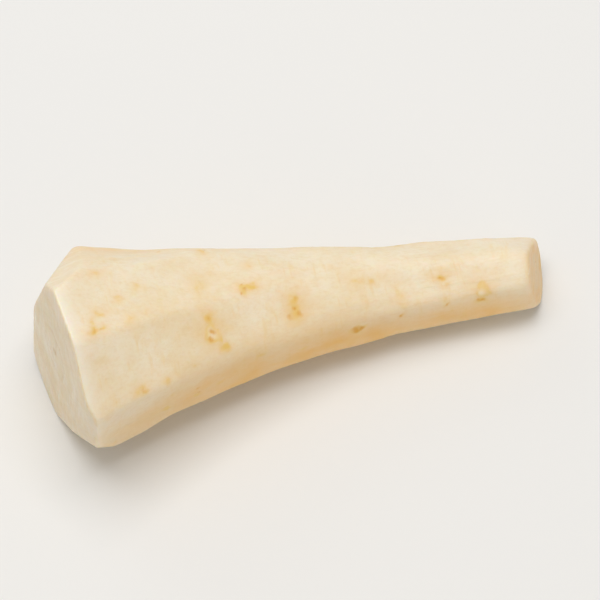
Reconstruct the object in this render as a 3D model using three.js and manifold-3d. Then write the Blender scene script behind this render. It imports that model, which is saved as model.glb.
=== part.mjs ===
// A peeled parsley root: one grown piece, lying on its side on a surface.
//
// Frame: millimetres, +Z up. The root lies along X, crown at -X and tail at +X, front at -Y.
// The origin is the centre of the bottom of its bounding box, so the surface is z = 0.
//
// Angles round the root are in degrees: 0 faces the front, 90 up, 180 the back, 270 down.

import * as THREE from "three";
import { mergeVertices } from "three/addons/utils/BufferGeometryUtils.js";
import Module from "manifold-3d";

const wasm = await Module();
wasm.setup();

// Driving dimensions

const CROWN_X = -67.5; // middle of the cut across the crown
const TAIL_X = 66.5; // middle of the cut across the tail
const CROWN_Y = -0.4;
const TAIL_Y = 3.5;
const CROWN_RADIUS = 30.6;
const TAIL_RADIUS = 10.6;
const TAPER_POWER = 2; // 1 would be a straight cone, more is slimmer in the middle
const BOW = 4.6; // the middle of the root bows this far to the back
const REST_SHARE = 0.98; // height of the root's middle line as a share of its radius
const ARCH = 0.5; // how far the middle is lifted off the surface between crown and tail

// Knife strokes along the flank. Each takes off a long flat: its angle at the crown, how far it turns
// by the tail, the share of the radius that it bites off, and where along X it bites.
const STROKES = [
  { angle: 84, turn: 36, bite: 0.08, from: -80, to: -25 },
  { angle: 40, turn: 45, bite: 0.08, from: -80, to: -5 },
  { angle: -9, turn: 27, bite: 0.077, from: -80, to: 80 },
  { angle: -51, turn: 14, bite: 0.074, from: -36, to: 80 },
  { angle: 130, turn: 24, bite: 0.095, from: -80, to: -44 },
  { angle: 184, turn: 8, bite: 0.05, from: -80, to: 80 },
  { angle: 228, turn: 6, bite: 0.06, from: -36, to: 80 },
  { angle: 66, turn: 0, bite: 0.05, from: 10, to: 80 },
  { angle: 122, turn: 4, bite: 0.05, from: 45, to: 80 },
];
const FADE = 25; // a stroke starts and ends over this length
const CLEAR_BITE = -0.06; // the bite of a stroke that has left the root
const RIDGE_SHARPNESS = 45; // how crisply two flats meet
const ROUND_SHARE = 1.02; // where no stroke bites, the root is round at this share of its radius

// Flat knife cuts: a point on the cut, and the direction that the cut face looks.
const CUTS = {
  crown: { at: [CROWN_X, CROWN_Y, 28], facing: [-0.993, -0.109, 0.046] },
  backShoulder: { at: [-64.6, 14.5, 44], facing: [-0.695, 0.663, 0.275] },
  lowBackShoulder: { at: [-69.6, 17.1, 18], facing: [-0.7, 0.71, 0] },
  topShoulder: { at: [-66.1, 4.2, 55.7], facing: [-0.256, 0.707, 0.66] },
  frontShoulder: { at: [-64.2, -22.7, 28.5], facing: [-0.896, -0.439, -0.061] },
  underShoulder: { at: [-66, -17.4, 13.3], facing: [-0.45, -0.64, -0.62] },
  tail: { at: [TAIL_X, TAIL_Y, 10], facing: [0.935, -0.283, 0.215] },
  tailTop: { at: [60.9, 9.6, 18.4], facing: [0.362, 0.585, 0.725] },
  tailFront: { at: [62.3, -5.5, 10.2], facing: [0.28, -0.945, 0.17] },
  rest: { at: [0, 0, 0], facing: [0, 0, -1] },
};

// Mesh density of the flank before the cuts
const FACES_ROUND = 72;
const FACES_ALONG = 34;
const OVERRUN = 9; // the flank is made this much longer at both ends, for the cuts to take off

const radians = THREE.MathUtils.degToRad;

// Share of the way from the crown cut to the tail cut.
function shareAlong(x) {
  return THREE.MathUtils.clamp((x - CROWN_X) / (TAIL_X - CROWN_X), 0, 1);
}

// Radius that the root has grown to: a taper that is steep at the crown and gentle at the tail.
function grownRadius(x) {
  return TAIL_RADIUS + (CROWN_RADIUS - TAIL_RADIUS) * (1 - shareAlong(x)) ** TAPER_POWER;
}

// Middle line of the root: it bows to the back, and it lies as high as the root is thick.
function middleLine(x) {
  const share = shareAlong(x);
  const bow = Math.sin(Math.PI * share);
  return {
    y: THREE.MathUtils.lerp(CROWN_Y, TAIL_Y, share) + BOW * bow,
    z: REST_SHARE * grownRadius(x) + ARCH * bow,
  };
}

// Share of the radius that a stroke bites off at x.
function biteAt(stroke, x) {
  const into = THREE.MathUtils.smoothstep(x, stroke.from - FADE, stroke.from);
  const outOf = 1 - THREE.MathUtils.smoothstep(x, stroke.to, stroke.to + FADE);
  return THREE.MathUtils.lerp(CLEAR_BITE, stroke.bite, into * outOf);
}

// Distance from the middle line to the flank. A round root gives its radius, a flat gives its distance
// over the cosine of the angle to it, and a soft minimum takes whichever is nearest.
function flankRadius(angle, x) {
  let nearness = ROUND_SHARE ** -RIDGE_SHARPNESS;
  for (const stroke of STROKES) {
    const turned = radians(stroke.angle + stroke.turn * shareAlong(x));
    const facing = Math.max(0, Math.cos(angle - turned));
    nearness += (facing / (1 - biteAt(stroke, x))) ** RIDGE_SHARPNESS;
  }
  return grownRadius(x) / nearness ** (1 / RIDGE_SHARPNESS);
}

// The uncut root: a capped unit cylinder whose every vertex is moved out to the flank's formula.
function uncutRoot() {
  const geometry = new THREE.CylinderGeometry(1, 1, 1, FACES_ROUND, FACES_ALONG);
  const position = geometry.attributes.position;
  for (let i = 0; i < position.count; i += 1) {
    const x = THREE.MathUtils.lerp(CROWN_X - OVERRUN, TAIL_X + OVERRUN, position.getY(i) + 0.5);
    const angle = Math.atan2(position.getZ(i), position.getX(i));
    const radius = Math.hypot(position.getX(i), position.getZ(i)) * flankRadius(angle, x);
    const middle = middleLine(x);
    position.setXYZ(i, x, middle.y - radius * Math.cos(angle), middle.z + radius * Math.sin(angle));
  }
  return geometry;
}

// A closed geometry as a manifold-3d solid, with its shared vertices merged.
function solidOf(geometry) {
  geometry.deleteAttribute("normal");
  geometry.deleteAttribute("uv");
  const merged = mergeVertices(geometry, 1e-4);
  return new wasm.Manifold(
    new wasm.Mesh({
      numProp: 3,
      vertProperties: merged.attributes.position.array,
      triVerts: new Uint32Array(merged.index.array),
    }),
  );
}

// A manifold-3d solid as a geometry.
function geometryOf(solid) {
  const mesh = solid.getMesh();
  const geometry = new THREE.BufferGeometry();
  geometry.setAttribute("position", new THREE.BufferAttribute(mesh.vertProperties, mesh.numProp));
  geometry.setIndex(new THREE.BufferAttribute(mesh.triVerts, 1));
  return geometry;
}

// Takes off everything on the side of a plane that the cut faces.
function cutAway(solid, cut) {
  const facing = new THREE.Vector3(...cut.facing).normalize();
  const blockSize = 400;
  const block = new THREE.BoxGeometry(blockSize, blockSize, blockSize)
    .translate(0, 0, blockSize / 2)
    .applyQuaternion(new THREE.Quaternion().setFromUnitVectors(new THREE.Vector3(0, 0, 1), facing))
    .translate(...cut.at);
  return solid.subtract(solidOf(block));
}

const flesh = new THREE.MeshStandardMaterial({ color: 0xf0e0be, roughness: 0.45, metalness: 0 });
const solid = Object.values(CUTS).reduce(cutAway, solidOf(uncutRoot()));

const root = new THREE.Mesh(geometryOf(solid), flesh);
root.name = "parsley_root";

const part = new THREE.Group();
part.add(root);

export default part;
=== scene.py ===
# %% [markdown]
# # A peeled parsley root
#
# The object is one root, grown in one piece. A knife has taken its skin off in long strokes, and has
# cut the leaves off its crown and the thin tip off its tail. It lies on its side on a pale floor.
#
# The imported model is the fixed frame: it says where the root is and how big. What is made here is the
# same shape again, with the soft rims, scars, wrinkles and fibres that a plain solid doesn't carry.

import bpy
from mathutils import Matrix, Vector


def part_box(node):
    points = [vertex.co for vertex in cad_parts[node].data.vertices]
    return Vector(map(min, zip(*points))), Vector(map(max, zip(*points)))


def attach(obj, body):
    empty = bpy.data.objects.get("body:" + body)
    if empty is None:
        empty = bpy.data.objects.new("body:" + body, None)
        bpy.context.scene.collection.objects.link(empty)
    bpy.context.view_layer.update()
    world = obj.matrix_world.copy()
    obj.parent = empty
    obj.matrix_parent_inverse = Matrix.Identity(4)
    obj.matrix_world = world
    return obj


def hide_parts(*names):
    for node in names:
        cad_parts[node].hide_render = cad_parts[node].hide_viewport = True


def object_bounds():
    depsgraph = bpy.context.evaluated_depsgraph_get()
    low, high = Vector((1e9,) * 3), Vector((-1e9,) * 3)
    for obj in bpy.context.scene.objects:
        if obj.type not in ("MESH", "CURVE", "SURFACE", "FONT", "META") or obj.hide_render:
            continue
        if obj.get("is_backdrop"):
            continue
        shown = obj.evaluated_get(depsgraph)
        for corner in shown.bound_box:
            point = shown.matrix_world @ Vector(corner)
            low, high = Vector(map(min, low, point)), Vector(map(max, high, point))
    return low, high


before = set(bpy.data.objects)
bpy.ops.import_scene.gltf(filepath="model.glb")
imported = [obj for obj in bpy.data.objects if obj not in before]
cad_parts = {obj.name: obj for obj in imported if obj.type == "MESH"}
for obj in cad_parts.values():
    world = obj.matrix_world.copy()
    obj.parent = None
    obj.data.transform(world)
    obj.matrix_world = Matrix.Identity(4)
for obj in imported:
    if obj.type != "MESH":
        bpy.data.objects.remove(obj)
cad_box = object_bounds()
low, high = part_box("parsley_root")
print("packed root:", [round(1000 * side, 1) for side in high - low], "mm")

# %% [markdown]
# ## Units and places
#
# Blender works in metres, and a root is easier to think of in millimetres, so every size below is a
# number times MM. X runs from the crown to the tail, Y to the back and Z up, as in the frame. Angles
# round the root start at its front (0) and go over its top (90) to its back (180).
#
# The two middle points of the end cuts are found from the frame's box: both cuts lean a little, so
# their middles lie a few millimetres in from the ends of the box.

# %% Driving dimensions
import math

import bpy
import numpy as np
from mathutils import Vector

MM = 0.001

CROWN_X = low.x + 2.95 * MM
TAIL_X = high.x - 3.88 * MM
CROWN_Y = -0.4 * MM
TAIL_Y = 3.5 * MM
CROWN_RADIUS = 30.6 * MM
TAIL_RADIUS = 10.6 * MM
TAPER_POWER = 2  # 1 would be a straight cone, more is slimmer in the middle
BOW = 4.6 * MM  # the middle of the root bows this far to the back
REST_SHARE = 0.98  # height of the middle line as a share of the radius
ARCH = 0.5 * MM  # how far the middle is lifted off the floor between crown and tail

print("crown cut at", round(CROWN_X / MM, 1), "mm and tail cut at", round(TAIL_X / MM, 1), "mm")

# %% [markdown]
# ## The root before the knife
#
# A root is thickest just under its leaves and tapers fast at first, then slowly. That is a power curve
# of the distance still to go. It also bows a little, which is half a wave of a sine. Both are functions
# of x that take a whole numpy array at once, so the same lines serve one point or a hundred thousand.

# %% Taper and middle line
def share_along(x):
    """How far x lies on the way from the crown cut (0) to the tail cut (1)."""
    return np.clip((x - CROWN_X) / (TAIL_X - CROWN_X), 0, 1)


def grown_radius(x):
    """The tail's radius, plus the crown's excess times a power of the share still to go."""
    return TAIL_RADIUS + (CROWN_RADIUS - TAIL_RADIUS) * (1 - share_along(x)) ** TAPER_POWER


def middle_line(x):
    """Y and Z of the middle: a straight line plus half a sine of bow, and a share of the radius high."""
    share = share_along(x)
    bow = np.sin(math.pi * share)
    y = CROWN_Y + (TAIL_Y - CROWN_Y) * share + BOW * bow
    z = REST_SHARE * grown_radius(x) + ARCH * bow
    return y, z


def place_round(point):
    """X of each point, its angle round the middle line and its distance from that line."""
    x, y, z = np.moveaxis(point, -1, 0)
    middle_y, middle_z = middle_line(x)
    return x, np.arctan2(z - middle_z, middle_y - y), np.hypot(y - middle_y, z - middle_z)


for name, x in (("crown", CROWN_X), ("middle", 0.0), ("tail", TAIL_X)):
    print(name, "is", round(float(2 * grown_radius(x)) / MM, 1), "mm thick")

# %% [markdown]
# ## The knife strokes
#
# A peeler takes off long flats, and two flats meet in a soft ridge that runs along the root. One way
# to make them is to cut the mesh with planes, but then each ridge is a hard line. Here the flank is a
# formula instead: a flat lies at its own distance over the cosine of the angle to it, a round root lies
# at its radius, and a soft minimum (the sum of high powers) takes the nearest of them all. The higher
# the power, the crisper the ridges, and they are crispest at the crown. The first strokes are the broad
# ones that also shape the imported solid. The second ones are narrow touches, where the peeler went over
# a ridge once more.

# %% Strokes of the peeler
# angle at the crown, turn by the tail, share of the radius bitten off, start and end along X in mm
BROAD_STROKES = [
    (84, 36, 0.08, -80, -25),
    (40, 45, 0.08, -80, -5),
    (-9, 27, 0.077, -80, 80),
    (-51, 14, 0.074, -36, 80),
    (130, 24, 0.095, -80, -44),
    (184, 8, 0.05, -80, 80),
    (228, 6, 0.06, -36, 80),
    (66, 0, 0.05, 10, 80),
    (122, 4, 0.05, 45, 80),
]
NARROW_STROKES = [
    (78, 0, 0.03, -24, 12),
    (22, 24, 0.02, -30, 20),
    (164, 0, 0.01, -50, 10),
    (206, 4, 0.025, -60, 10),
    (254, -4, 0.03, -50, 30),
    (292, 4, 0.03, -60, 0),
    (262, 0, 0.03, 20, 60),
]
BROAD_FADE = 25 * MM  # a broad stroke starts and ends over this length
NARROW_FADE = 16 * MM
CLEAR_BITE = -0.06  # the bite of a stroke that has left the root
ROUND_SHARE = 1.02  # where no stroke bites, the root is round at this share of its radius
CROWN_SHARPNESS = 60  # how crisply two flats meet near the crown
TAIL_SHARPNESS = 32  # and from the middle on
CRISP_UNTIL = 0.1  # share of the way to the tail at which the ridges begin to soften
SOFT_FROM = 0.45  # and at which they are as soft as at the tail


def smooth_step(value, start, end):
    """0 up to start, 1 from end, and between them three squares less two cubes."""
    share = np.clip((value - start) / (end - start), 0, 1)
    return share * share * (3 - 2 * share)


def flank_radius(angle, x):
    """Radius over the soft largest of the round and, for each flat, cosine over one less its bite."""
    crispness = 1 - smooth_step(share_along(x), CRISP_UNTIL, SOFT_FROM)
    power = TAIL_SHARPNESS + (CROWN_SHARPNESS - TAIL_SHARPNESS) * crispness
    nearness = (1 / ROUND_SHARE) ** (power + 0 * angle)
    passes = [(stroke, BROAD_FADE) for stroke in BROAD_STROKES]
    passes += [(stroke, NARROW_FADE) for stroke in NARROW_STROKES]
    for (at_crown, turn, bite, start, end), fade in passes:
        into = smooth_step(x, start * MM - fade, start * MM)
        out_of = 1 - smooth_step(x, end * MM, end * MM + fade)
        bitten = CLEAR_BITE + (bite - CLEAR_BITE) * into * out_of
        facing = np.cos(angle - np.radians(at_crown + turn * share_along(x)))
        nearness += (np.maximum(facing, 0) / (1 - bitten)) ** power
    return grown_radius(x) / nearness ** (1 / power)


around = np.radians(np.arange(0, 360, 5))
girth = flank_radius(around, np.full(around.shape, -40 * MM)) / MM
print("40 mm from the middle the radius runs from", girth.min().round(1), "to", girth.max().round(1), "mm")

# %% [markdown]
# ## The cuts across the ends
#
# The crown was cut off square and its rim then trimmed by slanting cuts, and the tail was cut off with
# a nick at the top and front. Each is a plane: a point on it and the way that the cut face looks. A
# Boolean modifier could take them off, but it leaves thin triangles and knife-sharp rims. Instead a
# soft maximum joins all the distances: how far a point stands out past the flank, and past each plane.
# Where it is zero is the skin of the root, and the softness rounds every rim by about a millimetre.

# %% The cuts
# a point on the cut in mm, and the direction that the cut face looks
CUTS = {
    "crown": ((CROWN_X / MM, CROWN_Y / MM, 28), (-0.993, -0.109, 0.046)),
    "back_shoulder": ((-64.6, 14.5, 44), (-0.695, 0.663, 0.275)),
    "low_back_shoulder": ((-69.6, 17.1, 18), (-0.7, 0.71, 0)),
    "top_shoulder": ((-66.1, 4.2, 55.7), (-0.256, 0.707, 0.66)),
    "front_shoulder": ((-64.2, -22.7, 28.5), (-0.896, -0.439, -0.061)),
    "under_shoulder": ((-66, -17.4, 13.3), (-0.45, -0.64, -0.62)),
    "tail": ((TAIL_X / MM, TAIL_Y / MM, 10), (0.935, -0.283, 0.215)),
    "tail_top": ((60.9, 9.6, 18.4), (0.362, 0.585, 0.725)),
    "tail_front": ((62.3, -5.5, 10.2), (0.28, -0.945, 0.17)),
}
CROWN_RIM = 0.28 * MM  # softness of the rims: the rounding is about 2.4 times as wide
TAIL_RIM = 0.6 * MM


def distances_out(point):
    """How far each point stands out past the flank (row 0) and past each cut, inside is negative."""
    x, angle, distance = place_round(point)
    past = [distance - flank_radius(angle, x)]
    for place, facing in CUTS.values():
        normal = np.array(facing) / np.linalg.norm(facing)
        past.append((point - np.array(place) * MM) @ normal)
    return np.stack(past)


def row_of(cut):
    """The row of a cut in those distances."""
    return 1 + list(CUTS).index(cut)


def rim_softness(x):
    """Goes evenly from the crown's softness to the tail's."""
    return CROWN_RIM + (TAIL_RIM - CROWN_RIM) * share_along(x)


def outside_root(point):
    """Soft maximum of the distances: softness times the log of the sum of their exponentials."""
    softness = rim_softness(point[..., 0])
    return softness * np.log(np.exp(distances_out(point) / softness).sum(axis=0))


# %% [markdown]
# ## A grid that wraps the root
#
# The skin is found with feelers. A profile walks from the middle of the crown face out to its rim,
# along the flank, and in to the middle of the tail face. From the middle line of the root one feeler
# goes through each point of the profile, all the way round, and halving the interval again and again
# finds the place where it leaves the root. This gives rings of points that flow over the rims with no
# seam, which neither a cut mesh nor a remeshed one does. The rings are closer at the two rims.

# %% Feelers
POINTS_ROUND = 312
RINGS = 304
POLE = 0.2 * MM  # radius of the first and last ring, round the closed pole
CROWN_INSET = 14 * MM  # feelers for the crown face start this far inside it
TAIL_INSET = 7 * MM
RIM_WIDTH = 3 * MM  # the rings are closer this far on both sides of a rim
RIM_DENSITY = 1.2  # how many more rings there are at a rim
WALK_STEPS = 4000  # places along the profile at which the density of the rings is worked out
SEAM_ANGLE = 270  # the first feeler of each ring points down
LONGEST = 70 * MM  # no feeler is longer than this
HALVINGS = 22  # so often halved, that is far less than a micrometre


def ring_places():
    """Places along the profile, from pole to pole, with a density of 1 plus a bell at each rim."""
    length = CROWN_RADIUS + (TAIL_X - CROWN_X) + TAIL_RADIUS
    walk = np.linspace(POLE, length - POLE, WALK_STEPS)
    density = np.ones(walk.shape)
    for rim in (CROWN_RADIUS, length - TAIL_RADIUS):
        density += RIM_DENSITY * np.exp(-(((walk - rim) / RIM_WIDTH) ** 2))
    count = np.cumsum(density)
    return np.interp(np.linspace(count[0], count[-1], RINGS), count, walk)


def skin_grid():
    """Points on the skin (ring, angle, xyz): where outside_root is zero along each feeler."""
    walk = ring_places()[:, None]
    angle = np.radians(SEAM_ANGLE + 360 * np.arange(POINTS_ROUND) / POINTS_ROUND)[None, :]
    aim_x = np.clip(CROWN_X + walk - CROWN_RADIUS, CROWN_X, TAIL_X)
    left = CROWN_RADIUS + (TAIL_X - CROWN_X) + TAIL_RADIUS - walk
    aim_out = np.minimum(np.minimum(walk, left), CROWN_RADIUS)
    from_x = np.clip(aim_x, CROWN_X + CROWN_INSET, TAIL_X - TAIL_INSET)
    from_y, from_z = middle_line(from_x)
    start = np.stack([from_x, from_y, from_z], axis=-1)
    out = np.stack([0 * angle, -np.cos(angle), np.sin(angle)], axis=-1)
    feeler = (aim_x - from_x)[..., None] * np.array([1.0, 0, 0]) + aim_out[..., None] * out
    feeler /= np.linalg.norm(feeler, axis=-1, keepdims=True)
    near = np.zeros(feeler.shape[:2])
    far = np.full(feeler.shape[:2], LONGEST)
    for _ in range(HALVINGS):
        reach = (near + far) / 2
        inside = outside_root(start + reach[..., None] * feeler) < 0
        near = np.where(inside, reach, near)
        far = np.where(inside, far, reach)
    return start + near[..., None] * feeler, angle


skin, turn = skin_grid()
steps = np.linalg.norm(np.diff(skin, axis=0), axis=-1)
print("rings are", np.round([steps.min() / MM, steps.max() / MM], 2), "mm apart")

# %% [markdown]
# ## Which part of the skin is which
#
# The same distances also say what each point is: the softmax of them is close to 1 for the surface
# that the point lies on and blends across the rims. The share of the radius, 0 at the pith and 1 at
# the flank, later tells the material where the growth rings are. Both are kept for the mesh.

# %% Flank, cuts and share of the radius
def surface_shares(point):
    """Exponential of each distance over the softness, divided by their sum."""
    weight = np.exp(distances_out(point) / rim_softness(point[..., 0]))
    return weight / weight.sum(axis=0)


def radius_share(point):
    """Distance from the middle line over the flank's radius in that direction."""
    x, angle, distance = place_round(point)
    return distance / flank_radius(angle, x)


flank_share = surface_shares(skin)[0]
ring_share = radius_share(skin)
print("share of the points on the cuts:", round(float((flank_share < 0.5).mean()), 2))

# %% [markdown]
# ## Scars of the side roots
#
# Thin side roots leave the main one in rows, and peeling lays each of them open. Where the knife went
# through one it leaves an eye, a pale middle in an ochre ring. Where it only grazed one it leaves an
# ochre smudge, often with a few darker dots, which are the cut vessels. They could be painted with a
# texture of spots, but then they would all be alike. Here each is listed where the upper front shows it,
# and a seeded draw puts the rest in rows over the other sides. They are worked out on the grid as masks,
# and both the relief and the material use them. No scar has a neat outline, so the places are first
# pushed about by small waves.

# %% Scars
# x and angle of the middle, half width along and round the root in mm, strength
SMUDGES = [
    (-58.2, 68.0, 1.9, 1.1, 0.86),
    (-56.2, 68.8, 1.6, 0.9, 0.69),
    (-59.6, 67.4, 1.0, 0.9, 0.57),
    (-58.1, 73.6, 1.0, 1.5, 0.57),
    (-55.9, 78.8, 1.7, 1.4, 0.58),
    (-49.5, 87.1, 1.0, 0.9, 0.62),
    (-47.6, 71.8, 1.3, 1.5, 0.5),
    (-53.5, 106.5, 1.1, 0.9, 0.6),
    (-43.8, 96.0, 1.2, 1.2, 0.5),
    (-43.5, 74.2, 1.2, 1.0, 0.34),
    (-48.0, 24.3, 1.8, 1.4, 0.63),
    (-41.1, 25.3, 1.1, 1.1, 0.57),
    (-39.7, 8.4, 1.0, 1.8, 0.4),
    (-55.9, 23.7, 0.9, 1.5, 0.4),
    (-59.2, 13.0, 1.0, 1.5, 0.34),
    (-26.6, 91.0, 1.8, 2.0, 0.4),
    (-26.3, 61.5, 1.5, 1.8, 0.92),
    (-24.5, 45.5, 0.9, 2.2, 0.8),
    (-23.2, 36.6, 1.6, 1.4, 0.92),
    (-32.2, 29.1, 1.1, 1.2, 0.52),
    (-14.8, 83.2, 1.6, 1.4, 1.0),
    (-12.7, 84.6, 1.9, 1.1, 0.98),
    (-12.8, 106.3, 0.9, 0.9, 0.46),
    (-13.9, 17.8, 1.4, 1.4, 0.57),
    (-14.9, 32.7, 1.4, 0.6, 0.34),
    (-1.9, 59.0, 2.0, 3.8, 0.92),
    (-1.1, 7.0, 1.8, 1.0, 0.46),
    (14.2, 14.2, 2.5, 1.1, 1.0),
    (16.0, 77.7, 2.2, 1.4, 0.4),
    (20.3, 75.2, 1.1, 0.9, 0.52),
    (23.5, 77.5, 1.2, 1.0, 0.34),
    (26.7, 60.7, 1.1, 1.6, 0.46),
    (26.9, 23.5, 1.1, 1.1, 0.52),
    (39.1, 69.1, 1.6, 1.0, 0.86),
    (40.1, 57.8, 1.0, 1.0, 0.46),
    (38.3, 58.2, 0.9, 0.9, 0.34),
    (39.0, 32.2, 1.2, 1.6, 0.52),
    (40.6, 80.2, 1.2, 0.6, 0.34),
    (49.2, 25.0, 1.9, 1.3, 0.9),
]
# x and angle, radius in mm, strength
DOTS = [
    (-58.5, 67.8, 0.84, 0.5),
    (-56.2, 68.9, 0.6, 0.48),
    (-58.0, 73.6, 0.6, 0.48),
    (-48.1, 24.3, 0.72, 0.48),
    (-26.2, 62.8, 1.0, 0.5),
    (-25.9, 50.8, 0.9, 0.8),
    (-26.5, 45.2, 0.7, 0.7),
    (-15.0, 87.4, 0.6, 0.64),
    (-15.7, 80.3, 0.6, 0.68),
    (-14.0, 82.1, 0.6, 0.68),
    (-1.4, 66.5, 0.97, 0.45),
    (-2.3, 56.4, 1.0, 0.75),
    (-1.1, 49.6, 1.1, 0.62),
    (-3.8, 48.2, 0.95, 0.56),
    (13.4, 14.4, 0.96, 1.0),
    (15.0, 14.0, 0.96, 1.0),
    (26.9, 23.5, 0.6, 0.72),
    (38.8, 69.1, 0.66, 0.65),
    (39.7, 69.1, 0.6, 0.56),
    (39.2, 31.0, 0.54, 0.64),
    (48.6, 25.2, 0.72, 0.7),
    (49.7, 24.8, 0.78, 0.7),
]
# x and angle of the middle, half width along and round the root in mm, strength
EYES = [
    (-26.0, 49.8, 1.9, 2.8, 1.0),
    (27.2, 44.4, 1.9, 2.2, 0.5),
    (49.5, 40.0, 2.1, 2.6, 0.9),
]
EYE_MIDDLE = 0.55  # width of the pale middle of an eye as a share of the eye
EYE_PALENESS = 0.9
HALO = 2.2  # the yellow halo of a scar is this many times as wide as the scar
HIDDEN_ROWS = (150, 196, 246, 304, 338)  # angles of the rows of scars that are drawn
ROW_ENDS = (-62, 64)  # where a row starts and ends along X in mm
ROW_SPREAD = 9  # degrees
SCAR_STEP = 9  # mm between the scars of a row, on average
SCAR_STRAY = 3.5  # mm that a scar may lie off its even place
EYE_CHANCE = 0.3
DRAWN_LONG = (0.7, 1.6)  # least and most half width of a drawn scar along the root in mm
DRAWN_WIDE = (0.8, 2.2)  # and round it
DRAWN_STRENGTH = (0.25, 0.8)
DRAWN_DOT = (0.5, 0.8)  # least and most radius of its dots in mm
PUSH = 0.35 * MM  # how far the outlines are pushed about
PUSH_WAVES = 8
PUSH_SUM = 2.5  # about what so many waves add up to
PUSH_LENGTHS = (2.5, 6)  # shortest and longest wave in mm
draw = np.random.default_rng(11)


def drawn_scars():
    """Rows of scars from crown to tail: each is a smudge or now and then an eye, with up to three dots."""
    smudges, dots, eyes = [], [], []
    for row in HIDDEN_ROWS:
        for middle in np.arange(*ROW_ENDS, SCAR_STEP):
            x = middle + draw.uniform(-SCAR_STRAY, SCAR_STRAY)
            angle = row + draw.normal(0, ROW_SPREAD)
            long, wide = draw.uniform(*DRAWN_LONG), draw.uniform(*DRAWN_WIDE)
            strength = draw.uniform(*DRAWN_STRENGTH)
            if draw.random() < EYE_CHANCE:
                eyes.append((x, angle, long, wide, strength))
            else:
                smudges.append((x, angle, long, wide, strength))
            for _ in range(draw.integers(0, 4)):
                off_x, off_angle = draw.normal(0, 0.8), draw.normal(0, 4)
                size = draw.uniform(*DRAWN_DOT)
                dots.append((x + off_x, angle + off_angle, size, 0.8 * strength))
    return smudges, dots, eyes


def small_waves(point):
    """Sine waves a few millimetres long, each along its own direction, added up to about 1."""
    height = np.zeros(point.shape[:-1])
    for _ in range(PUSH_WAVES):
        heading = draw.normal(size=3)
        along = point @ (heading / np.linalg.norm(heading))
        wavelength = draw.uniform(*PUSH_LENGTHS) * MM
        height += np.sin(2 * math.pi * along / wavelength + draw.uniform(0, 2 * math.pi))
    return height / PUSH_SUM


def scar_masks(point):
    """Stain, dots, pale middles and halo: exponentials of minus a power of the distance to each scar."""
    x, angle, _ = place_round(point)
    radius = grown_radius(x)
    pushed_x = x + PUSH * small_waves(point)
    pushed_round = PUSH * small_waves(point)

    def away_from(at_x, at_angle, long, wide):
        """Distance from the middle of a scar, in its own half widths."""
        off = angle - math.radians(at_angle)
        off = np.arctan2(np.sin(off), np.cos(off)) * radius + pushed_round
        return np.hypot((pushed_x - at_x * MM) / (long * MM), off / (wide * MM))

    more_smudges, more_dots, more_eyes = drawn_scars()
    stain, dot, pale, halo = (np.zeros(x.shape) for _ in range(4))
    for *place, strength in SMUDGES + more_smudges:
        away = away_from(*place)
        stain = np.maximum(stain, strength * np.exp(-(away**2)))
        halo = np.maximum(halo, strength * np.exp(-((away / HALO) ** 2)))
    for at_x, at_angle, size, strength in DOTS + more_dots:
        away = away_from(at_x, at_angle, size, size)
        dot = np.maximum(dot, strength * np.exp(-(away**2)))
    for *place, strength in EYES + more_eyes:
        away = away_from(*place)
        stain = np.maximum(stain, strength * np.exp(-(away**4)))
        pale = np.maximum(pale, EYE_PALENESS * strength * np.exp(-((away / EYE_MIDDLE) ** 2)))
        halo = np.maximum(halo, strength * np.exp(-((away / HALO) ** 2)))
    return stain, dot, pale, halo


stain, dot, pale, halo = (mask * flank_share for mask in scar_masks(skin))
print("placed:", len(SMUDGES), "smudges,", len(DOTS), "dots and", len(EYES), "eyes")

# %% [markdown]
# ## Yellow flesh and the dried rim
# Just under the skin the flesh is yellower than further in. Where the peeler took little off, a broad
# soft patch of it is left, mostly low down on the sides, and every scar has a yellow halo. The patches
# low on the front, and the much yellower tail cut, are also painted warm shade: the shade that falls on
# the low side and on the end. Each patch is a bell along the root times a bell round it, and where
# patches meet they melt into one. Along the crown's edge a narrow band is painted paler, which is
# painted light on the facets by the rim. Along the
# crown's edge the flesh is cut on two sides and has dried, so a narrow band of it is paler.

# %% Thinly peeled patches and painted warm shade
# x and angle of the middle, half length along X in mm, half width round the root in degrees, strength
THIN_PEEL_AND_SHADE_PATCHES = [
    # the four patches low on the front, at -22 to -4 degrees, are painted warm shade of the low side
    (-52, -22, 16, 28, 0.4),
    (-24, -10, 22, 32, 0.9),
    (8, -5, 24, 35, 0.95),
    (44, -4, 26, 34, 0.85),
    (-46, 158, 20, 18, 0.5),
    (12, 168, 34, 30, 0.6),
    (-38, 232, 24, 26, 0.6),
    (38, 236, 26, 34, 0.7),
    (0, 290, 36, 30, 0.8),
]
HALO_SHARE = 0.5  # how yellow the halo of a strong scar is
CUT_YELLOW = {"crown": 0.15, "tail": 0.88}  # the crown's cut is a little yellower flesh, and the tail's much yellower one is painted warm shade
RIM_LIGHT_WIDTH = 3.6 * MM  # width of the pale band of painted light along the crown's edge
RIM_LIGHT_STRENGTH = 0.9


# Yellower flesh where the peel was thin, and painted warm shade in the patches low on the front.
def thin_peel_and_painted_shade(point):
    """One less the product, over the patches, of one less the patch's bell along and round the root."""
    x, angle, _ = place_round(point)
    plain = np.ones(x.shape)
    for at_x, at_angle, long, wide, strength in THIN_PEEL_AND_SHADE_PATCHES:
        off = (np.degrees(angle) - at_angle + 180) % 360 - 180
        bell = np.exp(-(((x / MM - at_x) / long) ** 2) - (off / wide) ** 2)
        plain *= 1 - strength * bell
    return 1 - plain


# Painted light: a paler band along the crown's edge, where the facets by the rim catch the light.
def painted_rim_light(point):
    """A bell of the distance inward from the crown's cut."""
    inward = distances_out(point)[row_of("crown")]
    return RIM_LIGHT_STRENGTH * np.exp(-((inward / RIM_LIGHT_WIDTH) ** 2))


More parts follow.
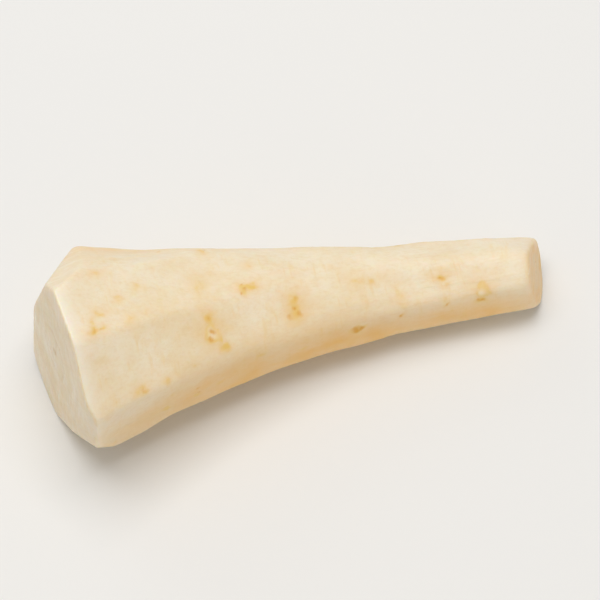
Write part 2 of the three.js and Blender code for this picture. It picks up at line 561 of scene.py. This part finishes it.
# The yellow mask: thin peel, scar halos and the cuts; its low front patches and the tail's cut are painted
# warm shade.
yellow = np.maximum(thin_peel_and_painted_shade(skin), HALO_SHARE * halo)
for cut, strength in CUT_YELLOW.items():
    yellow = np.maximum(yellow, strength * surface_shares(skin)[row_of(cut)])
# The pale mask also carries the painted light along the crown's edge.
pale = np.maximum(pale, painted_rim_light(skin) * flank_share)
print("mean share of yellow flesh:", round(float(yellow.mean()), 2))

# %% [markdown]
# ## Relief of the peeled flank
#
# Under the blade the flesh isn't quite true. It swells gently, fine wrinkles run part of the way round
# it, and where one stroke of the blade ran out beside the last it left a long low step. Each of these
# is a height over x and angle, and their sum moves the skin along its own normal. Whole numbers of
# waves round the root keep it free of a seam. Anything finer than the grid is left to the material.

# %% Relief
SWELL = 0.16 * MM  # height of the swell
SWELL_WAVES = 26
SWELL_LENGTHS = (14, 60)  # shortest and longest wave in mm
CUT_SWELL = 0.3  # how much of the swell a cut face has
WRINKLE = 0.1 * MM  # depth of the deepest wrinkle
WRINKLE_WIDTH = 0.8 * MM
WRINKLES = 70
WRINKLE_ENDS = (-66, 64)  # they lie between these places along X in mm
WRINKLE_HALF = (8, 30)  # least and most half length of one round the root in degrees
PIT_DEPTH = 0.12 * MM  # each dot of a scar is a pit
SCAR_RISE = 0.1 * MM  # and each smudge stands a little proud
# angle of a step left by the blade, its turn by its end, where it starts and ends along X, height in mm
BLADE_STEPS = [
    (107, 28, -62, -36, 0.2),
    (112, 30, -60, -30, 0.13),
    (62, 40, -64, -30, 0.14),
    (58, -4, 30, 66, 0.08),
    (150, 4, -60, 10, 0.2),
    (206, 0, -66, -10, 0.2),
    (268, 4, -30, 40, 0.2),
    (318, -6, -66, -5, 0.2),
    (352, 4, -60, -25, 0.16),
]
STEP_EDGE = 1.2  # degrees over which a step rises
STEP_TAIL = 16  # degrees over which it sinks back
STEP_START = 5  # mm along X over which it begins
STEP_RUNOUT = 12  # and over which it runs out


def gentle_swell(x, angle):
    """Slow waves along the root, each with a whole number of turns round it, added up to about 1."""
    height = np.zeros(x.shape)
    for _ in range(SWELL_WAVES):
        wavelength = draw.uniform(*SWELL_LENGTHS) * MM
        turns = draw.integers(0, 6)
        phase = draw.uniform(0, 2 * math.pi)
        height += np.cos(2 * math.pi * x / wavelength + turns * angle + phase)
    return height / math.sqrt(SWELL_WAVES / 2)


def fine_wrinkles(x, angle):
    """Grooves: a bell across each one, times a bell of some tens of degrees along it."""
    height = np.zeros(x.shape)
    for _ in range(WRINKLES):
        at_x = draw.uniform(*WRINKLE_ENDS) * MM
        at_angle = draw.uniform(0, 2 * math.pi)
        half = math.radians(draw.uniform(*WRINKLE_HALF))
        lean = draw.normal(0, 1.2) * MM
        depth = draw.uniform(0.3, 1)
        off = np.arctan2(np.sin(angle - at_angle), np.cos(angle - at_angle))
        across = (x - at_x - lean * off) / WRINKLE_WIDTH
        height -= depth * np.exp(-(across**2) - (off / half) ** 2)
    return height


def blade_steps(x, angle):
    """Each step rises at its edge over a degree or so and sinks back slowly on one side."""
    height = np.zeros(x.shape)
    for at_angle, turned, start, end, step_height in BLADE_STEPS:
        share = np.clip((x / MM - start) / (end - start), 0, 1)
        off = angle - np.radians(at_angle + turned * share)
        off = np.degrees(np.arctan2(np.sin(off), np.cos(off)))
        edge = smooth_step(off, -STEP_EDGE, STEP_EDGE) * (1 - smooth_step(off, 0, STEP_TAIL))
        begun = smooth_step(x / MM, start, start + STEP_START)
        run_out = smooth_step(x / MM, end - STEP_RUNOUT, end)
        height += step_height * MM * edge * begun * (1 - run_out)
    return height


def outward(point):
    """The grid's normals: the step along the root crossed with the step round it."""
    along = np.gradient(point, axis=0)
    round_it = np.roll(point, -1, axis=1) - np.roll(point, 1, axis=1)
    normal = np.cross(along, round_it)
    return normal / np.linalg.norm(normal, axis=-1, keepdims=True)


skin_x = skin[..., 0]
skin_turn = turn + 0 * skin_x
relief = SWELL * gentle_swell(skin_x, skin_turn) * (CUT_SWELL + (1 - CUT_SWELL) * flank_share)
relief += WRINKLE * fine_wrinkles(skin_x, skin_turn) * flank_share
relief += blade_steps(skin_x, skin_turn) * flank_share
relief += SCAR_RISE * stain - PIT_DEPTH * dot
skin = skin + outward(skin) * relief[..., None]
skin[..., 2] = np.maximum(skin[..., 2], 0)
print("relief runs from", np.round([relief.min() / MM, relief.max() / MM], 2), "mm")

# %% [markdown]
# ## From the grid to a mesh
#
# The rings become quads, the last point of a ring joins the first, and a fan of triangles closes each
# pole, so the skin is one closed surface that faces outward. The masks go in as attributes, which a
# material reads by name, and each face is given to the flank, the crown's cut or the tail's cut. The
# slanting cuts that trim a rim go with the end that they trim.

# %% Mesh
def grid_faces():
    """Quads between neighbouring rings, and triangles from the end rings to the two poles."""
    ring = np.arange(RINGS - 1)[:, None] * POINTS_ROUND
    column = np.arange(POINTS_ROUND)[None, :]
    after = (column + 1) % POINTS_ROUND
    further = ring + POINTS_ROUND
    quads = np.stack([ring + column, further + column, further + after, ring + after], axis=-1)
    last = (RINGS - 1) * POINTS_ROUND
    crown_pole = RINGS * POINTS_ROUND
    crown_fan = np.stack([0 * column + crown_pole, column, after], axis=-1)
    tail_fan = np.stack([0 * column + crown_pole + 1, last + after, last + column], axis=-1)
    return quads.reshape(-1, 4), np.concatenate([crown_fan, tail_fan], axis=1).reshape(-1, 3)


def with_poles(values):
    """A value for each point: the grid's, then the mean of the first ring and of the last."""
    flat = values.reshape(RINGS * POINTS_ROUND, -1)
    crown_pole = flat[:POINTS_ROUND].mean(axis=0, keepdims=True)
    tail_pole = flat[-POINTS_ROUND:].mean(axis=0, keepdims=True)
    return np.concatenate([flat, crown_pole, tail_pole])


quads, fans = grid_faces()
points = with_poles(skin)
mesh = bpy.data.meshes.new("peeled_root")
mesh.from_pydata(points.tolist(), [], quads.tolist() + fans.tolist())
mesh.shade_smooth()
for name, values in (("stain", stain), ("dot", dot), ("pale", pale), ("yellow", yellow)):
    attribute = mesh.attributes.new(name, "FLOAT", "POINT")
    attribute.data.foreach_set("value", with_poles(values)[:, 0].astype(np.float32))
spokes = np.stack([np.cos(skin_turn), np.sin(skin_turn), ring_share], axis=-1)
attribute = mesh.attributes.new("spoke", "FLOAT_VECTOR", "POINT")
attribute.data.foreach_set("vector", with_poles(spokes).astype(np.float32).ravel())
root = bpy.data.objects.new("peeled_root", mesh)
bpy.context.scene.collection.objects.link(root)
flat_flank = with_poles(flank_share)[:, 0]
finishes = []
for faces in (quads, fans):
    on_flank = flat_flank[faces].mean(axis=1) > 0.5
    finishes.append(np.where(on_flank, 0, np.where(points[faces, 0].mean(axis=1) < 0, 1, 2)))
mesh.polygons.foreach_set("material_index", np.concatenate(finishes).astype(np.int32))
print("the root has", 2 * len(quads) + len(fans), "triangles")

# %% [markdown]
# ## A map for a baked texture
#
# Blender can unwrap a mesh by itself, but it would tear this one into many scraps. The grid already
# knows its own places, so the map is laid out from them: the flank is one strip, rolled out along its
# underside, and each cut face with its rim is a disc. The wrap needs care: the corners on the first
# angle belong to the last one too, and get the strip's far side.

# %% Strip and discs
STRIP_HEIGHT = 0.7  # share of the map's height that the flank's strip takes up
MAP_GAP = 0.006  # left free round the strip
# middle and radius of each disc on the map
DISC_PLACES = {"crown": ((0.16, 0.85), 0.14), "tail": ((0.42, 0.85), 0.09)}


def disc_places(share, column, name):
    """The middle of the disc, plus its size times the share of the way to its rim, at the angle."""
    (u, v), size = DISC_PLACES[name]
    angle = 2 * math.pi * column / POINTS_ROUND
    return np.stack([u + size * share * np.cos(angle), v + size * share * np.sin(angle)], axis=-1)


def strip_places(share, column):
    """Share of the way along the flank, and share of the way round it."""
    u = MAP_GAP + (1 - 2 * MAP_GAP) * share
    v = MAP_GAP + (STRIP_HEIGHT - 2 * MAP_GAP) * column / POINTS_ROUND
    return np.stack([u, v], axis=-1)


def corner_places(corners):
    """The place on the map of every corner of an array of faces."""
    walk = np.append(ring_places(), [0, CROWN_RADIUS + (TAIL_X - CROWN_X) + TAIL_RADIUS])
    pole = corners >= RINGS * POINTS_ROUND
    ring = np.where(pole, corners - RINGS * POINTS_ROUND + RINGS, corners // POINTS_ROUND)
    column = corners % POINTS_ROUND
    wraps = (column.max(axis=1) == POINTS_ROUND - 1)[:, None] & (column == 0) & ~pole
    column = np.where(wraps, POINTS_ROUND, column)
    along = walk[ring]
    left = walk.max() - along
    flank = (along.mean(axis=1) > CROWN_RADIUS) & (left.mean(axis=1) > TAIL_RADIUS)
    at_crown = along.mean(axis=1) < CROWN_RADIUS
    strip = strip_places((along - CROWN_RADIUS) / (TAIL_X - CROWN_X), column)
    crown = disc_places(along / CROWN_RADIUS, column, "crown")
    tail = disc_places(left / TAIL_RADIUS, column, "tail")
    places = np.where(at_crown[:, None, None], crown, tail)
    return np.where(flank[:, None, None], strip, places)


layer = mesh.uv_layers.new(name="OFBake")
places = np.concatenate([corner_places(quads).reshape(-1, 2), corner_places(fans).reshape(-1, 2)])
layer.uv.foreach_set("vector", places.astype(np.float32).ravel())
print("map runs from", places.min(axis=0).round(3), "to", places.max(axis=0).round(3))

# %% [markdown]
# ## Nodes by name
#
# A material is a small network. These helpers add one node each and feed its inputs with a plain value
# or with another node's output, so that a material below reads as a recipe. Screen colours are turned
# into the linear ones that the nodes work with.

# %% Helpers for nodes
def colour_of(red, green, blue):
    """A screen colour from 0 to 255 as a linear colour."""
    shade = np.array([red, green, blue]) / 255
    linear = np.where(shade <= 0.04045, shade / 12.92, ((shade + 0.055) / 1.055) ** 2.4)
    return (*linear.tolist(), 1.0)


def feed(tree, node, feeds):
    """Gives each named input of a node a plain value, or links it to the socket that feeds it."""
    for name, source in feeds.items():
        if isinstance(source, bpy.types.NodeSocket):
            tree.links.new(source, node.inputs[name])
        else:
            node.inputs[name].default_value = source
    return node


def add_node(tree, kind, feeds, **settings):
    """Adds a node, sets its settings and feeds it."""
    node = tree.nodes.new(kind)
    for name, value in settings.items():
        setattr(node, name, value)
    return feed(tree, node, feeds)


def reckon(tree, operation, *terms):
    """One Math node."""
    return add_node(tree, "ShaderNodeMath", dict(enumerate(terms)), operation=operation).outputs[0]


def rise(tree, value, start, end, low_value=0.0, high_value=1.0):
    """The low value up to start, the high value from end, and a smooth step between them."""
    feeds = {"Value": value, "From Min": start, "From Max": end, "To Min": low_value, "To Max": high_value}
    return add_node(tree, "ShaderNodeMapRange", feeds, interpolation_type="SMOOTHSTEP").outputs[0]


def blend(tree, share, first, second):
    """The first colour where the share is 0, and the second where it is 1."""
    return add_node(tree, "ShaderNodeMix", {0: share, 6: first, 7: second}, data_type="RGBA").outputs[2]


def new_group(name, inputs, outputs):
    """An empty node group with named sockets, and its input and output nodes."""
    group = bpy.data.node_groups.new(name, "ShaderNodeTree")
    for socket, kind in inputs.items():
        group.interface.new_socket(socket, in_out="INPUT", socket_type="NodeSocket" + kind)
    for socket, kind in outputs.items():
        group.interface.new_socket(socket, in_out="OUTPUT", socket_type="NodeSocket" + kind)
    return group, group.nodes.new("NodeGroupInput").outputs, group.nodes.new("NodeGroupOutput")


def use_group(tree, group, feeds):
    """Puts a node group into a tree and returns its outputs."""
    node = tree.nodes.new("ShaderNodeGroup")
    node.node_tree = group
    return feed(tree, node, feeds).outputs


# %% [markdown]
# ## Noise with a grain
#
# Nearly every mark on a root is longer one way than the other: fibres run along it, wrinkles run round
# it, and the knife drags its marks across the cuts. One group serves them all: it divides the place by
# a size in each direction before it looks the noise up, so a mark is as long, wide and deep as that.

# %% Grained noise
def make_grained_noise():
    """Noise at the place divided by the size of a mark in each direction."""
    inputs = {"Place": "Vector", "Size": "Vector", "Detail": "Float"}
    group, given, result = new_group("grained_noise", inputs, {"Value": "Float"})
    feeds = {0: given["Place"], 1: given["Size"]}
    scaled = add_node(group, "ShaderNodeVectorMath", feeds, operation="DIVIDE").outputs[0]
    feeds = {"Vector": scaled, "Scale": 1.0, "Detail": given["Detail"], "Roughness": 0.55}
    noise = add_node(group, "ShaderNodeTexNoise", feeds).outputs[0]
    group.links.new(noise, result.inputs["Value"])
    return group


grained_noise = make_grained_noise()


def grain(tree, place, size, detail=2.0):
    """One grained noise, with the size of its marks along X, Y and Z in millimetres."""
    feeds = {"Place": place, "Size": [side * MM for side in size], "Detail": detail}
    return use_group(tree, grained_noise, feeds)["Value"]


# %% [markdown]
# ## Flesh
#
# Peeled parsley root is cream, warmer in soft patches, with fine fibres and specks along it. The flank
# and both cuts are the same flesh, so its colour and its fine relief are a group too. Where it shows on
# a cut, the fibres are seen end on, and the same noise gives small dots there by itself. The yellow mask,
# which is yellower flesh and in places painted warm shade, is laid over it in each material. Flesh lets
# light in and glows a little at thin edges, which is subsurface scattering, and the cut cells are wet,
# which is a thin coat.

# %% Flesh
def make_flesh():
    """Cream, blended to warm cream in patches, then to the fibre colour in streaks and small specks."""
    inputs = {
        "Place": "Vector",
        "Cream": "Color",
        "Warm cream": "Color",
        "Fibre colour": "Color",
        "Fibre strength": "Float",
    }
    group, given, result = new_group("root_flesh", inputs, {"Colour": "Color", "Relief": "Float"})
    place = given["Place"]
    broad = rise(group, grain(group, place, (24, 12, 12), 3.0), 0.35, 0.7)
    small = rise(group, grain(group, place, (3.2, 2.4, 2.4), 4.0), 0.4, 0.7)
    patches = reckon(group, "MULTIPLY_ADD", small, 0.35, reckon(group, "MULTIPLY", broad, 0.65))
    colour = blend(group, patches, given["Cream"], given["Warm cream"])
    fibres = grain(group, place, (14, 0.6, 0.6), 3.0)
    streaks = reckon(group, "MULTIPLY", rise(group, fibres, 0.5, 0.8), given["Fibre strength"])
    colour = blend(group, streaks, colour, given["Fibre colour"])
    specks = rise(group, grain(group, place, (1.5, 0.9, 0.9), 3.0), 0.45, 0.7)
    colour = blend(group, reckon(group, "MULTIPLY", specks, 0.2), colour, given["Fibre colour"])
    grit = grain(group, place, (0.5, 0.45, 0.45), 3.0)
    relief = reckon(group, "MULTIPLY_ADD", grit, 0.35, reckon(group, "MULTIPLY", fibres, 0.65))
    group.links.new(colour, result.inputs["Colour"])
    group.links.new(relief, result.inputs["Relief"])
    return group


root_flesh = make_flesh()
CREAM = colour_of(243, 231, 207)
WARM_CREAM = colour_of(238, 218, 180)
FIBRE = colour_of(228, 200, 148)
# yellow of the flesh under the skin, also laid on as painted warm shade
YELLOW_FLESH_AND_SHADE = colour_of(238, 190, 108)


def mask_of(tree, name):
    """One of the mesh's masks as a number."""
    return add_node(tree, "ShaderNodeAttribute", {}, attribute_name=name).outputs["Fac"]


def flesh_of(tree, place, fibre_strength):
    """Colour and relief of the flesh, with the yellow places clouded by a broad noise."""
    feeds = {"Place": place, "Cream": CREAM, "Warm cream": WARM_CREAM}
    feeds.update({"Fibre colour": FIBRE, "Fibre strength": fibre_strength})
    flesh = use_group(tree, root_flesh, feeds)
    cloudy = rise(tree, grain(tree, place, (11, 7, 7), 3.0), 0.3, 0.7, 0.7, 1.0)
    # The yellow mask carries painted warm shade low on the front and on the tail's cut, as well as yellower
    # flesh.
    yellow = reckon(tree, "MULTIPLY", mask_of(tree, "yellow"), cloudy)
    return blend(tree, yellow, flesh["Colour"], YELLOW_FLESH_AND_SHADE), flesh["Relief"]


def start_material(name):
    """A material with a shader for wet flesh, that lets light in, and its place on the root."""
    material = bpy.data.materials.new(name)
    material.use_nodes = True
    tree = material.node_tree
    shader = tree.nodes["Principled BSDF"]
    shader.subsurface_method = "RANDOM_WALK"
    shader.inputs["Subsurface Weight"].default_value = 0.4
    shader.inputs["Subsurface Radius"].default_value = (1.0, 0.6, 0.28)
    shader.inputs["Subsurface Scale"].default_value = 3 * MM
    shader.inputs["IOR"].default_value = 1.4
    shader.inputs["Coat Roughness"].default_value = 0.2
    shader.inputs["Coat IOR"].default_value = 1.33
    place = tree.nodes.new("ShaderNodeTexCoord").outputs["Object"]
    return material, tree, shader, place


def finish_material(tree, shader, place, colour, height, depth):
    """Colour, a bump of a depth in millimetres, and a gloss that is uneven because the flesh dries."""
    tree.links.new(colour, shader.inputs["Base Color"])
    feeds = {"Strength": 0.6, "Distance": depth * MM, "Height": height}
    bump = add_node(tree, "ShaderNodeBump", feeds)
    tree.links.new(bump.outputs[0], shader.inputs["Normal"])
    damp = grain(tree, place, (18, 9, 9), 3.0)
    tree.links.new(rise(tree, damp, 0.35, 0.65, 0.52, 0.38), shader.inputs["Roughness"])
    tree.links.new(rise(tree, damp, 0.35, 0.65, 0.1, 0.32), shader.inputs["Coat Weight"])


print("groups:", [group.name for group in bpy.data.node_groups])

# %% [markdown]
# ## The peeled flank
#
# On top of the flesh come short faint marks that run round the root, and the scars. The marks are a
# noise that is short along the root and long across it, and a second noise leaves them out in places.
# The scars' masks come from the grid, and a third one makes the stain stronger in one place than in the
# next. The pale middles, and the paler band of painted light along the crown's edge, lie over the stain,
# and the dots over both.

# %% Material of the flank
OCHRE = colour_of(236, 201, 120)
DARK_OCHRE = colour_of(225, 168, 70)
PALE_FLESH = colour_of(250, 243, 229)
MARK_STRENGTH = 0.26


def make_flank():
    """Flesh, then faint marks round the root, then stains, pale middles with the painted rim light, and
    dots.
    """
    material, tree, shader, place = start_material("peeled_flank")
    colour, fine_relief = flesh_of(tree, place, 0.2)
    marks = rise(tree, grain(tree, place, (1.2, 6, 6), 2.0), 0.5, 0.75)
    mark_places = rise(tree, grain(tree, place, (9, 9, 9), 2.0), 0.42, 0.6)
    marks = reckon(tree, "MULTIPLY", marks, mark_places)
    colour = blend(tree, reckon(tree, "MULTIPLY", marks, MARK_STRENGTH), colour, OCHRE)
    uneven = rise(tree, grain(tree, place, (2.4, 2.0, 2.0), 4.0), 0.3, 0.7, 0.6, 1.2)
    stain = reckon(tree, "MULTIPLY", mask_of(tree, "stain"), uneven)
    colour = blend(tree, rise(tree, stain, 0.0, 0.9), colour, OCHRE)
    # Pale middles of the eyes, and the painted light along the crown's edge.
    colour = blend(tree, reckon(tree, "MULTIPLY", mask_of(tree, "pale"), 0.8), colour, PALE_FLESH)
    colour = blend(tree, rise(tree, mask_of(tree, "dot"), 0.1, 0.9), colour, DARK_OCHRE)
    height = reckon(tree, "MULTIPLY_ADD", marks, -0.15, fine_relief)
    height = reckon(tree, "MULTIPLY_ADD", stain, -0.3, height)
    finish_material(tree, shader, place, colour, height, 0.2)
    return material


# %% [markdown]
# ## The two cuts
#
# A cut shows how the root grew. In the middle is the brown dot of the pith, then come rings: a thin
# dotted one, a broad soft one where wood and bark part, and a faint one further out, with fine rays
# between them and plain bark up to the rim. Each ring is a band of the share of the radius, and its
# edge wavers with a noise. The knife leaves low parallel drags across the cut.

# %% Materials of the cuts
PITH = colour_of(212, 180, 126)
RING_BROWN = colour_of(214, 180, 124)
RING_TAN = colour_of(228, 205, 158)
# middle and half width as shares of the radius, how strong and how dotted the ring is, its colour
GROWTH_RINGS = [
    (0.25, 0.05, 0.35, 0.6, RING_BROWN),
    (0.43, 0.11, 0.35, 0.1, RING_TAN),
    (0.64, 0.06, 0.2, 0.4, RING_BROWN),
]
RAY_SIZE = (0.045, 0.045, 0.8)  # narrow round the cut, and most of its radius long
CROWN_DRAGS = (6, 1.1, 9)  # size of a drag of the knife along X, Y and Z in mm
TAIL_DRAGS = (6, 6, 0.9)


def make_growth_rings():
    """Rays, rings and pith over the flesh: a ring is 1 at its middle and 0 from its half width."""
    inputs = {"Place": "Vector", "Spoke": "Vector", "Flesh": "Color"}
    group, given, result = new_group("growth_rings", inputs, {"Colour": "Color", "Relief": "Float"})
    share = add_node(group, "ShaderNodeSeparateXYZ", {0: given["Spoke"]}).outputs["Z"]
    waver = reckon(group, "SUBTRACT", grain(group, given["Place"], (9, 7, 7), 3.0), 0.5)
    share = reckon(group, "MULTIPLY_ADD", waver, 0.07, share)
    dots = rise(group, grain(group, given["Place"], (4, 0.9, 0.9), 1.0), 0.42, 0.58)
    feeds = {0: given["Spoke"], 1: RAY_SIZE}
    fan = add_node(group, "ShaderNodeVectorMath", feeds, operation="DIVIDE").outputs[0]
    rays = add_node(group, "ShaderNodeTexNoise", {"Vector": fan, "Scale": 1.0, "Detail": 2.0}).outputs[0]
    rays = rise(group, rays, 0.5, 0.75)
    inner = rise(group, share, 0.85, 0.35)
    rays_seen = reckon(group, "MULTIPLY", rays, reckon(group, "MULTIPLY", inner, 0.35))
    colour = blend(group, rays_seen, given["Flesh"], RING_TAN)
    relief = reckon(group, "MULTIPLY", rays, 0.2)
    for middle, half_width, strength, dotted, ring_colour in GROWTH_RINGS:
        off = reckon(group, "ABSOLUTE", reckon(group, "SUBTRACT", share, middle))
        band = rise(group, off, half_width, 0.0)
        broken = reckon(group, "MULTIPLY_ADD", dots, dotted, 1 - dotted)
        band = reckon(group, "MULTIPLY", band, reckon(group, "MULTIPLY", broken, strength))
        colour = blend(group, band, colour, ring_colour)
        relief = reckon(group, "MULTIPLY_ADD", band, -0.2, relief)
    pith = rise(group, share, 0.07, 0.02)
    colour = blend(group, pith, colour, PITH)
    group.links.new(colour, result.inputs["Colour"])
    group.links.new(reckon(group, "MULTIPLY_ADD", pith, -0.6, relief), result.inputs["Relief"])
    return group


growth_rings = make_growth_rings()


def make_cut(name, drag_size):
    """Flesh with its fibres end on, the growth rings, and the drags of the knife."""
    material, tree, shader, place = start_material(name)
    colour, fine_relief = flesh_of(tree, place, 0.1)
    spoke = add_node(tree, "ShaderNodeAttribute", {}, attribute_name="spoke").outputs["Vector"]
    rings = use_group(tree, growth_rings, {"Place": place, "Spoke": spoke, "Flesh": colour})
    drags = grain(tree, place, drag_size, 2.0)
    drags_seen = reckon(tree, "MULTIPLY", rise(tree, drags, 0.5, 0.75), 0.35)
    colour = blend(tree, drags_seen, rings["Colour"], PALE_FLESH)
    height = reckon(tree, "MULTIPLY_ADD", drags, 0.9, fine_relief)
    height = reckon(tree, "ADD", height, rings["Relief"])
    finish_material(tree, shader, place, colour, height, 0.2)
    return material


mesh.materials.append(make_flank())
mesh.materials.append(make_cut("crown_cut", CROWN_DRAGS))
mesh.materials.append(make_cut("tail_cut", TAIL_DRAGS))
print("materials:", [material.name for material in mesh.materials])

# %% [markdown]
# ## What the mesh stands for
#
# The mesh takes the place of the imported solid, moves with the frame's one body, and has the finish that
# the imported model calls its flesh.

# %% Where the root belongs
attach(root, "root")
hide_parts("parsley_root")

# %% [markdown]
# ## Floor, light and camera
#
# A pale floor catches a soft shadow. The light is mostly from a wide panel overhead, with some from all
# round, so that the flats of the knife read as gentle changes of tone and the crown's face, which looks
# away from the panel, falls into shade. Two weak panels fill in: one at the back left, and a warm low
# one at the front, which glows on the low side as light does that comes back from other roots. The
# camera has a long lens and looks down at 60 degrees.

# %% Floor
FLOOR_SIZE = 8.0
FLOOR_GREY = colour_of(236, 236, 235)
floor_mesh = bpy.data.meshes.new("floor")
half = FLOOR_SIZE / 2
corners = [(-half, -half, 0), (half, -half, 0), (half, half, 0), (-half, half, 0)]
floor_mesh.from_pydata(corners, [], [(0, 1, 2, 3)])
floor = bpy.data.objects.new("floor", floor_mesh)
bpy.context.scene.collection.objects.link(floor)
floor_paint = bpy.data.materials.new("pale_floor")
floor_paint.use_nodes = True
floor_shader = floor_paint.node_tree.nodes["Principled BSDF"]
floor_shader.inputs["Base Color"].default_value = FLOOR_GREY
floor_shader.inputs["Roughness"].default_value = 0.8
floor_mesh.materials.append(floor_paint)
floor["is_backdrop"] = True

# %% Light
AIM = Vector((0, 0, 0.02))  # the panels look at the middle of the root
# name, place, side and power of a panel in metres and watts, and its colour
PANELS = [
    ("overhead_panel", (-0.1, 0.15, 1.6), 1.1, 16.2, (1.0, 0.985, 0.96)),
    ("back_left_fill", (-0.4, 1.3, 0.6), 0.8, 1.4, (1.0, 0.97, 0.93)),
    ("low_front_fill", (0.65, -1.15, 0.15), 0.6, 2.0, (1.0, 0.76, 0.45)),
]
ROOM_COLOUR = (1.0, 0.985, 0.965, 1.0)
ROOM_STRENGTH = 0.44


def add_panel(name, place, size, power, colour):
    """A square light panel that looks at the root."""
    light = bpy.data.lights.new(name, "AREA")
    light.shape = "SQUARE"
    light.size = size
    light.energy = power
    light.color = colour
    panel = bpy.data.objects.new(name, light)
    panel.location = place
    panel.rotation_euler = (AIM - Vector(place)).to_track_quat("-Z", "Y").to_euler()
    panel.visible_camera = False
    bpy.context.scene.collection.objects.link(panel)


for panel in PANELS:
    add_panel(*panel)
world = bpy.data.worlds.new("room")
world.use_nodes = True
background = world.node_tree.nodes["Background"]
background.inputs["Color"].default_value = ROOM_COLOUR
background.inputs["Strength"].default_value = ROOM_STRENGTH
bpy.context.scene.world = world
bpy.context.scene.view_settings.view_transform = "Standard"

# %% Camera
CAMERA_TURN = -14  # degrees round the root, to the left of its front
CAMERA_RISE = 60  # degrees above the floor
LENS = 400
SENSOR = 36
FILL = 0.85  # share of the picture's width that the root takes up


def aim_camera():
    """Far enough back along the viewing direction for the root to fill its share of the width."""
    camera = bpy.data.objects.new("camera", bpy.data.cameras.new("camera"))
    camera.data.lens = LENS
    camera.data.sensor_width = SENSOR
    side = math.radians(CAMERA_TURN)
    up = math.radians(CAMERA_RISE)
    back = Vector((math.sin(side) * math.cos(up), -math.cos(side) * math.cos(up), math.sin(up)))
    low_corner, high_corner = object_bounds()
    centre = (low_corner + high_corner) / 2
    width = (high_corner.x - low_corner.x) * math.cos(side)
    distance = width / FILL * LENS / SENSOR
    camera.location = centre + back * distance
    camera.rotation_euler = (-back).to_track_quat("-Z", "Y").to_euler()
    bpy.context.scene.collection.objects.link(camera)
    bpy.context.scene.camera = camera
    return distance


print("camera", round(aim_camera(), 2), "m away")

# %% [markdown]
# ## Sizes
#
# Both boxes, the imported solid's and the mesh's, are kept in a table and printed. The mesh has to stay
# inside the box of the imported solid.

# %% Sizes
boxes = {"cad": [list(corner) for corner in cad_box], "visual": [list(corner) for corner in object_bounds()]}
for name, (low_corner, high_corner) in boxes.items():
    print(name, [round(1000 * (b - a), 1) for a, b in zip(low_corner, high_corner)], "mm")
